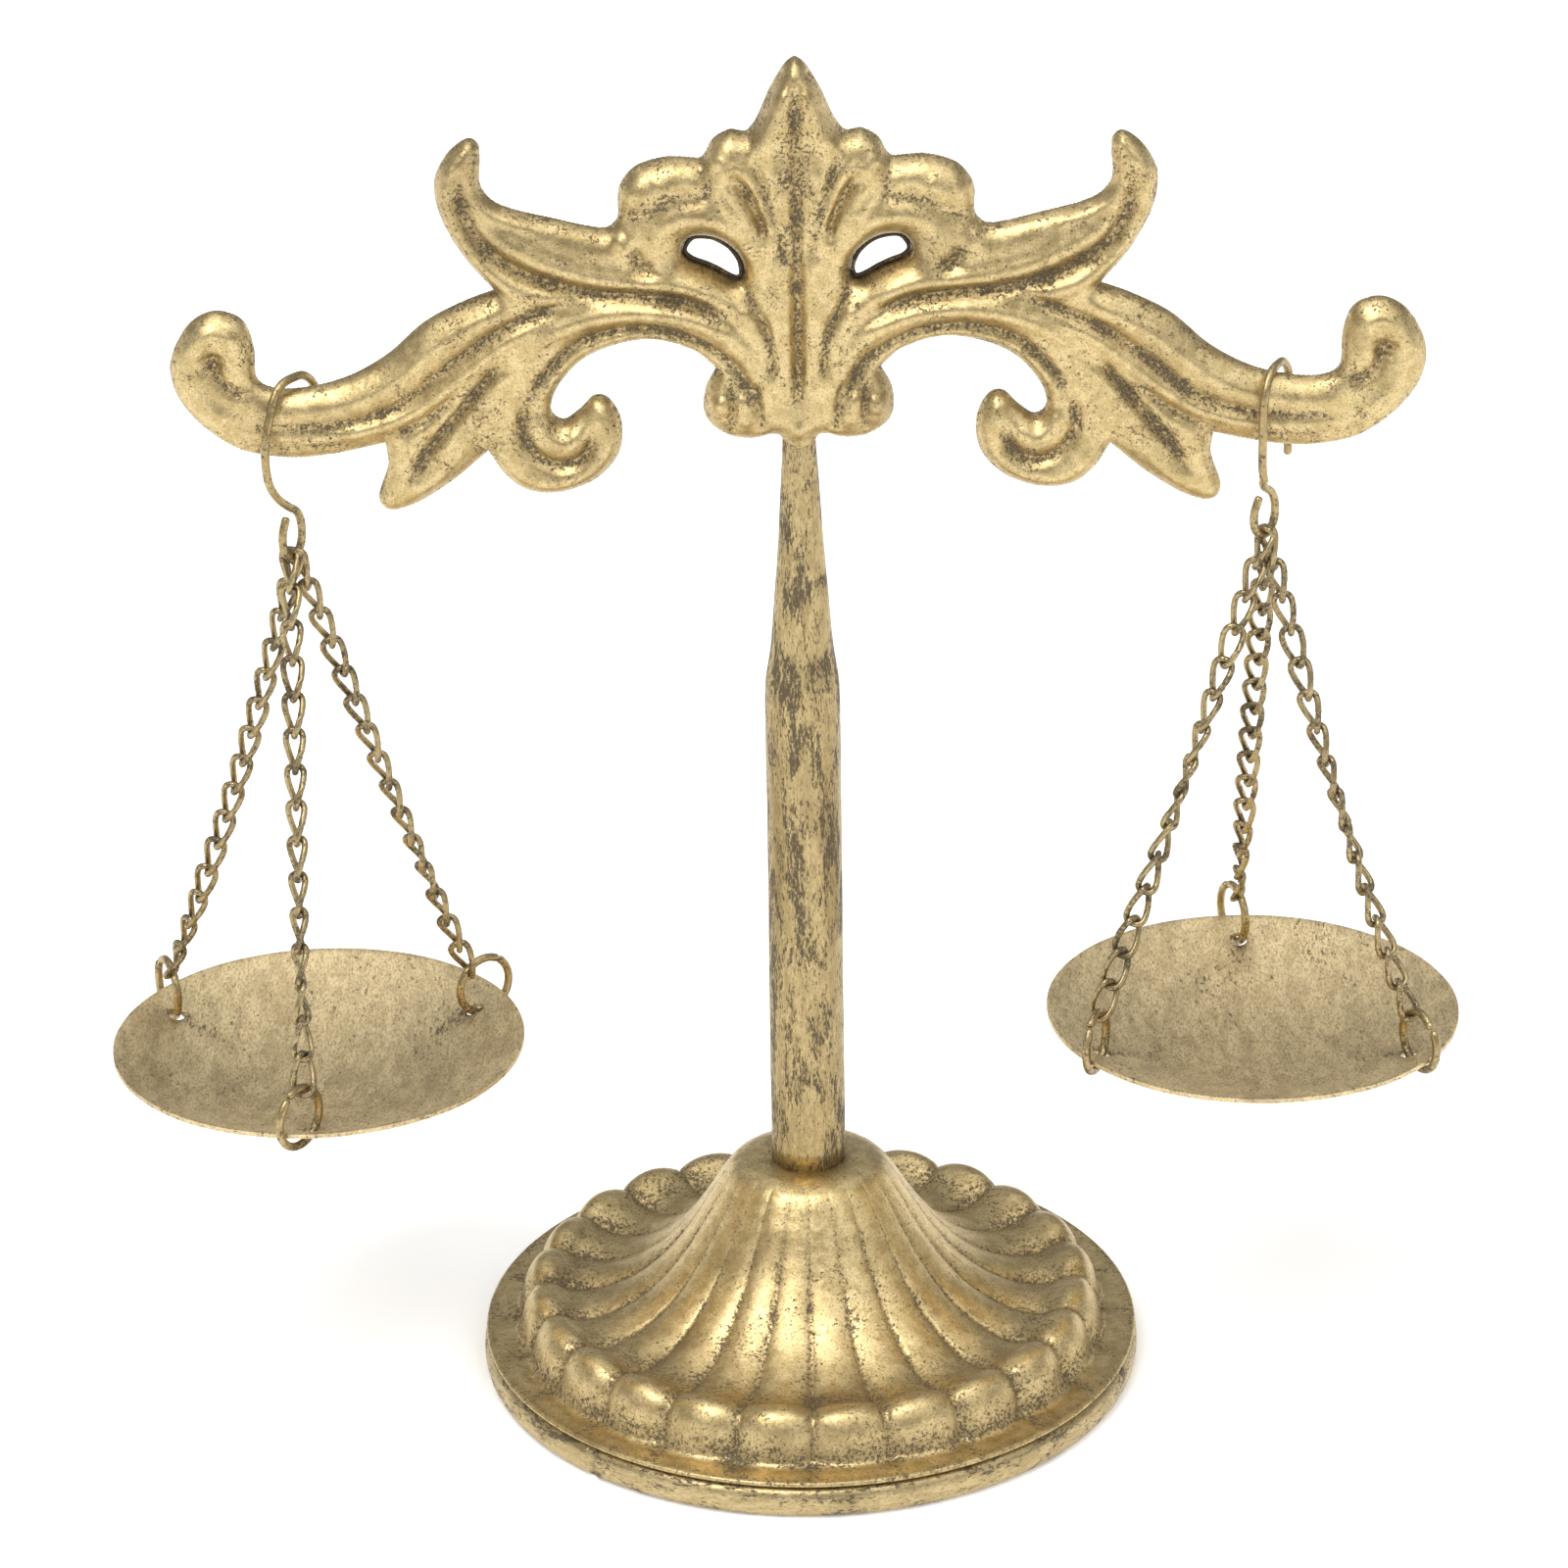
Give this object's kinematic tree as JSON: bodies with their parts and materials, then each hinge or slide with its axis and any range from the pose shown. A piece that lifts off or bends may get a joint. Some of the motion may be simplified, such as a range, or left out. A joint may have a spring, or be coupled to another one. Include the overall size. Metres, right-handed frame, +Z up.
{
  "type": "decorative equal arm balance scale",
  "caption": "Antique-gold stamped metal balance scale with a scrolled beam, a fluted round base and two chained pans.",
  "frame": {"origin": "on the table, under the middle of the bounding box; the post's axis is 3.85 mm to the right of it (+X), because the two pans hang unevenly", "axes": "+Z up the post, +X along the beam to the viewer's right, -Y towards the viewer"},
  "size_m": [0.241, 0.12, 0.2469],
  "materials": {
    "base_sheet": "antique gold, satin, dark patina in the grooves",
    "base_ring": "antique gold, satin, worn dark",
    "post": "antique gold, satin, dark vertical mottling",
    "beam_sheet": "antique gold, satin, dark patina in the hollows",
    "wire": "antique gold, satin",
    "chain": "antique gold, satin, dark in the links",
    "pan_sheet": "antique gold, brushed, rubbed patina",
    "hardware": "zinc plated"
  },
  "bodies": {
    "stand": {"base_dome": "base_sheet", "base_rim_ring": "base_ring", "post_tube": "post", "post_plug": "hardware", "post_bolt": "hardware", "bolt_washer": "hardware", "beam_front_shell": "beam_sheet", "beam_back_shell": "beam_sheet"},
    "left_hook": {"hook_left": "wire"},
    "right_hook": {"hook_right": "wire"},
    "left_suspension": {"pan_left": "pan_sheet", "ring_left_1": "wire", "ring_left_2": "wire", "ring_left_3": "wire", "chain_left_1": "chain", "chain_left_2": "chain", "chain_left_3": "chain"},
    "right_suspension": {"pan_right": "pan_sheet", "ring_right_1": "wire", "ring_right_2": "wire", "ring_right_3": "wire", "chain_right_1": "chain", "chain_right_2": "chain", "chain_right_3": "chain"}
  },
  "joints": [
    {"name": "left_hook_rock", "type": "hinge", "parent": "stand", "child": "left_hook", "pos_m": [-0.08235, 0, 0.18995], "axis": [0, 1, 0], "range_deg": [-15, 15]},
    {"name": "right_hook_rock", "type": "hinge", "parent": "stand", "child": "right_hook", "pos_m": [0.08545, 0, 0.1901], "axis": [0, 1, 0], "range_deg": [-15, 15]},
    {"name": "left_pan_swing", "type": "hinge", "parent": "left_hook", "child": "left_suspension", "pos_m": [-0.0837, -0.00186, 0.15918], "axis": [1, 0, 0], "range_deg": [-20, 20]},
    {"name": "right_pan_swing", "type": "hinge", "parent": "right_hook", "child": "right_suspension", "pos_m": [0.08369, -0.00148, 0.1608], "axis": [1, 0, 0], "range_deg": [-20, 20]}
  ]
}
